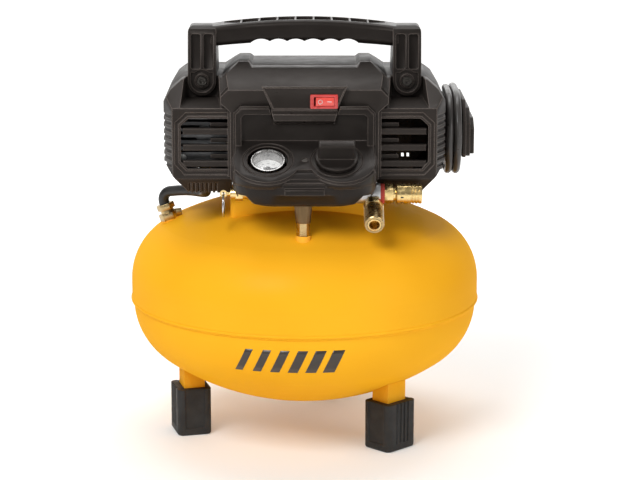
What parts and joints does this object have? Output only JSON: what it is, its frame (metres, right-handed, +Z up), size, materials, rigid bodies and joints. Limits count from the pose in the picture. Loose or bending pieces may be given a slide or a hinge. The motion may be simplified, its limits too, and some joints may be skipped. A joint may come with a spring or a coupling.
{
  "type": "pancake air compressor",
  "caption": "Portable pancake air compressor: flat round tank on rubber feet, shrouded motor and pump, console with gauge, knob and switch, carry handle, cord wrap and quick couplers.",
  "frame": {"origin": "on the floor, under the tank axis", "axes": "+Z up along the tank axis, -Y towards the console side, +X to the cord-wrap side"},
  "size_m": [0.4159, 0.416, 0.495],
  "materials": {
    "yellow_paint": "gloss paint",
    "shroud_plastic": "fine moulded texture",
    "console_plastic": "fine moulded texture",
    "handle_plastic": "satin moulded",
    "black_rubber": "matte",
    "bright_brass": "polished",
    "dark_brass": "dull",
    "cast_aluminium": "as cast",
    "plain_steel": "machined",
    "zinc_steel": "zinc plated",
    "stator_steel": "laminated",
    "copper_wire": "enamelled copper",
    "white_plastic": "smooth",
    "red_plastic": "gloss",
    "red_seal": "matte",
    "bezel_metal": "bright",
    "dial_face": "printed",
    "needle_black": "matte",
    "clear_lens": "clear",
    "cord_jacket": "satin",
    "ptfe_seal": "smooth"
  },
  "bodies": {
    "root": {"tank_upper_head": "yellow_paint", "tank_lower_head": "yellow_paint", "tank_bungs": "yellow_paint", "leg_brackets": "yellow_paint", "rubber_feet": "black_rubber", "pump_saddle": "yellow_paint", "isolators": "black_rubber", "pump_base": "zinc_steel", "stator_core": "stator_steel", "stator_windings": "copper_wire", "motor_end_bells": "cast_aluminium", "shaft_bearings": "plain_steel", "crankcase": "cast_aluminium", "crankcase_cover": "cast_aluminium", "cylinder_sleeve": "cast_aluminium", "valve_plate": "cast_aluminium", "cylinder_head": "cast_aluminium", "head_bolts": "zinc_steel", "intake_filter": "console_plastic", "hose_end_nuts": "bright_brass", "discharge_hose": "black_rubber", "check_valve_body": "bright_brass", "front_shroud": "shroud_plastic", "rear_shroud": "shroud_plastic", "shroud_screws": "zinc_steel", "handle": "handle_plastic", "handle_bolts": "zinc_steel", "console": "console_plastic", "switch_panel": "console_plastic", "switch_housing": "red_plastic", "gauge_case": "bezel_metal", "gauge_dial": "dial_face", "gauge_lens": "clear_lens", "manifold": "cast_aluminium", "pressure_switch": "console_plastic", "tank_nipple": "dark_brass", "outlet_washer": "red_seal", "coupler_bodies": "bright_brass", "relief_valve_body": "bright_brass", "drain_valve_body": "bright_brass", "cord_wrap": "shroud_plastic", "strain_relief": "cord_jacket", "cord_lead": "cord_jacket", "cord_coil": "cord_jacket", "plug_body": "cord_jacket", "plug_blades": "bright_brass"},
    "rotor": {"motor_shaft": "plain_steel", "rotor_core": "stator_steel", "cooling_fan": "white_plastic", "crank_eccentric": "plain_steel"},
    "piston": {"piston_rod": "cast_aluminium", "piston_seal": "ptfe_seal"},
    "rocker": {"power_rocker": "red_plastic"},
    "knob": {"regulator_knob": "console_plastic"},
    "needle": {"gauge_needle": "needle_black"},
    "right_sleeve": {"right_coupler_sleeve": "bright_brass"},
    "front_sleeve": {"front_coupler_sleeve": "dark_brass"},
    "relief_stem": {"relief_stem": "bright_brass"},
    "relief_ring": {"relief_ring": "plain_steel"},
    "drain_knob": {"drain_knob": "bright_brass"}
  },
  "joints": [
    {"name": "motor_spin", "type": "hinge", "parent": "root", "child": "rotor", "pos_m": [0, 0.02, 0.368], "axis": [1, 0, 0], "continuous": true},
    {"name": "piston_stroke", "type": "slide", "parent": "root", "child": "piston", "axis": [0, 1, 0], "range_m": [-0.008, 0.008]},
    {"name": "power_rocker_tilt", "type": "hinge", "parent": "root", "child": "rocker", "pos_m": [0.022, -0.12, 0.412], "axis": [0, 0, 1], "range_deg": [-14, 0]},
    {"name": "regulator_knob_turn", "type": "hinge", "parent": "root", "child": "knob", "pos_m": [0.036, -0.151, 0.3503], "axis": [0, -0.5039, 0.8637], "range_deg": [-720, 720]},
    {"name": "gauge_needle_turn", "type": "hinge", "parent": "root", "child": "needle", "pos_m": [-0.041, -0.151, 0.3503], "axis": [0, -0.5039, 0.8637], "range_deg": [-45, 225]},
    {"name": "right_sleeve_pull", "type": "slide", "parent": "root", "child": "right_sleeve", "axis": [1, 0, 0], "range_m": [-0.003, 0], "stiffness_N_per_m": 900, "springref_m": 0.002},
    {"name": "front_sleeve_pull", "type": "slide", "parent": "root", "child": "front_sleeve", "axis": [0, -0.9239, -0.3827], "range_m": [-0.003, 0], "stiffness_N_per_m": 900, "springref_m": 0.002},
    {"name": "relief_pull", "type": "slide", "parent": "root", "child": "relief_stem", "axis": [-1, 0, 0], "range_m": [0, 0.003], "stiffness_N_per_m": 1500, "springref_m": -0.001},
    {"name": "relief_ring_swing", "type": "hinge", "parent": "relief_stem", "child": "relief_ring", "pos_m": [-0.092, -0.12, 0.306], "axis": [0, 1, 0], "range_deg": [-10, 85]},
    {"name": "drain_knob_turn", "type": "hinge", "parent": "root", "child": "drain_knob", "pos_m": [-0.03, 0.122, 0.03525], "axis": [0, 1, 0], "range_deg": [0, 540]}
  ]
}
